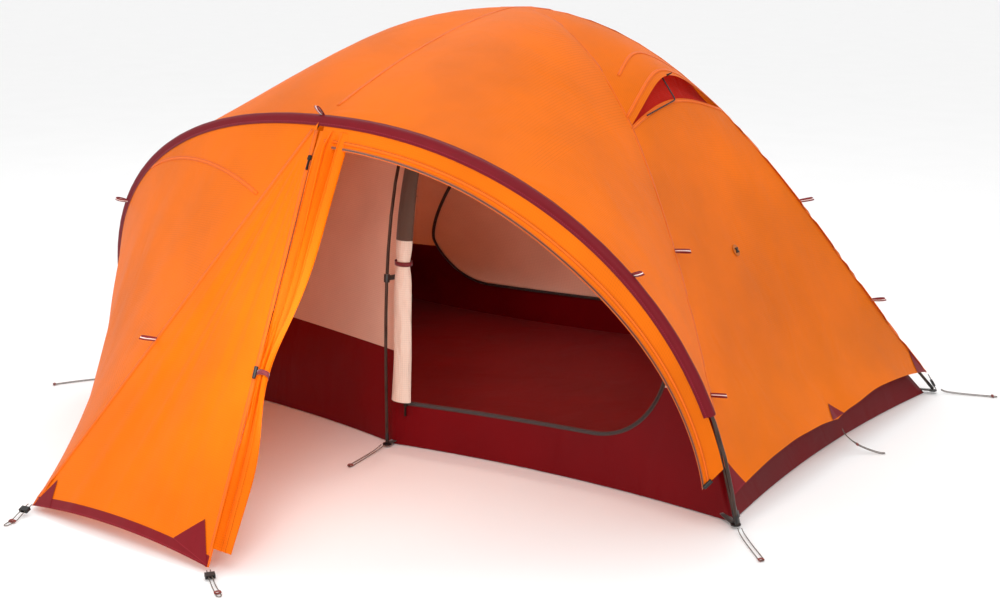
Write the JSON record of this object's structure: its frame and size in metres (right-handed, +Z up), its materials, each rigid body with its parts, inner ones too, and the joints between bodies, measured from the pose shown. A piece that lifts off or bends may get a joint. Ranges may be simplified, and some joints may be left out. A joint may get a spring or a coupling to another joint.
{
  "type": "two-person dome tent",
  "caption": "Dome tent with an inner room on a bathtub floor, crossed poles, an orange fly, and a vestibule held out by a leaning hoop pole.",
  "frame": {"origin": "middle of the floor's underside, on the ground", "axes": "+X to the right along the long front side, +Y towards the back, away from the vestibule, +Z up"},
  "size_m": [2.4856, 2.4595, 1.1936],
  "materials": {
    "fly_cloth": "silicone-coated nylon",
    "maroon_cloth": "coated nylon",
    "canopy_cloth": "uncoated ripstop nylon, translucent",
    "door_cloth": "rolled nylon and netting",
    "red_mesh": "netting",
    "pole_alloy": "dark anodised",
    "cord": "braided",
    "webbing": "woven",
    "slider_metal": "satin",
    "black_plastic": "matte"
  },
  "bodies": {
    "tent": {"canopy_back": "canopy_cloth", "canopy_crown": "canopy_cloth", "canopy_front_left": "canopy_cloth", "canopy_front_right": "canopy_cloth", "canopy_left_end": "canopy_cloth", "canopy_right_end": "canopy_cloth", "centre_pole": "pole_alloy", "corner_strap_back_right": "webbing", "corner_strap_front_right": "webbing", "diagonal_pole_lower": "pole_alloy", "diagonal_pole_upper": "pole_alloy", "door_flap_gathered": "fly_cloth", "door_header": "fly_cloth", "door_roll": "door_cloth", "door_tie": "maroon_cloth", "fly_back": "fly_cloth", "fly_left_end": "fly_cloth", "fly_right_end": "fly_cloth", "fly_roof_left": "fly_cloth", "fly_roof_right": "fly_cloth", "grommet_back_left": "black_plastic", "grommet_back_middle": "black_plastic", "grommet_back_right": "black_plastic", "grommet_front_left": "black_plastic", "grommet_front_middle": "black_plastic", "grommet_front_right": "black_plastic", "guy_cord_back_right": "cord", "guy_cord_front_left": "cord", "guy_cord_front_middle": "cord", "guy_cord_front_right": "cord", "guy_cord_right_middle": "cord", "guy_cord_vestibule_left": "cord", "guy_cord_vestibule_right": "cord", "hoop_sleeve": "maroon_cloth", "peak_hook": "black_plastic", "pole_clip_back_left": "black_plastic", "pole_clip_back_middle": "black_plastic", "pole_clip_back_right": "black_plastic", "pole_clip_front_left": "black_plastic", "pole_clip_front_middle": "black_plastic", "pole_clip_front_right": "black_plastic", "tub_back": "maroon_cloth", "tub_floor": "maroon_cloth", "tub_front": "maroon_cloth", "tub_left": "maroon_cloth", "tub_right": "maroon_cloth", "vent_hood": "fly_cloth", "vent_mesh": "red_mesh", "vestibule_front": "fly_cloth", "vestibule_hoop_pole": "pole_alloy", "vestibule_left": "fly_cloth"},
    "door_slider": {"door_zip_slider": "slider_metal"},
    "rear_door_slider": {"rear_door_zip_slider": "slider_metal"},
    "vestibule_slider": {"vestibule_zip_slider": "slider_metal"},
    "prop": {"vent_prop": "black_plastic"},
    "lock_front_right": {"corner_adjuster_front_right": "black_plastic"},
    "lock_back_right": {"corner_adjuster_back_right": "black_plastic"},
    "lock_vestibule_left": {"cord_adjuster_vestibule_left": "black_plastic"},
    "lock_vestibule_right": {"cord_adjuster_vestibule_right": "black_plastic"}
  },
  "joints": [
    {"name": "door_zip_travel", "type": "slide", "parent": "tent", "child": "door_slider", "axis": [0.9899, 0.142, 0], "range_m": [0, 0.455]},
    {"name": "rear_door_zip_travel", "type": "slide", "parent": "tent", "child": "rear_door_slider", "axis": [-0.9879, -0.155, 0], "range_m": [0, 0.455]},
    {"name": "vestibule_zip_travel", "type": "slide", "parent": "tent", "child": "vestibule_slider", "axis": [0.1847, -0.5627, -0.8058], "range_m": [0, 0.93]},
    {"name": "vent_prop_fold", "type": "hinge", "parent": "tent", "child": "prop", "pos_m": [0.5418, -0.2482, 0.9281], "axis": [-0.0498, 0.9871, 0.1522], "range_deg": [0, 100]},
    {"name": "corner_lock_front_right_travel", "type": "slide", "parent": "tent", "child": "lock_front_right", "axis": [-0.3855, 0.1264, 0.914], "range_m": [-0.008, 0.016]},
    {"name": "corner_lock_back_right_travel", "type": "slide", "parent": "tent", "child": "lock_back_right", "axis": [-0.341, -0.3776, 0.8609], "range_m": [-0.008, 0.016]},
    {"name": "vestibule_cord_lock_left_travel", "type": "slide", "parent": "tent", "child": "lock_vestibule_left", "axis": [0.2286, -0.932, -0.2814], "range_m": [-0.004, 0.008]},
    {"name": "vestibule_cord_lock_right_travel", "type": "slide", "parent": "tent", "child": "lock_vestibule_right", "axis": [0.8221, -0.5481, -0.1541], "range_m": [-0.004, 0.008]}
  ]
}
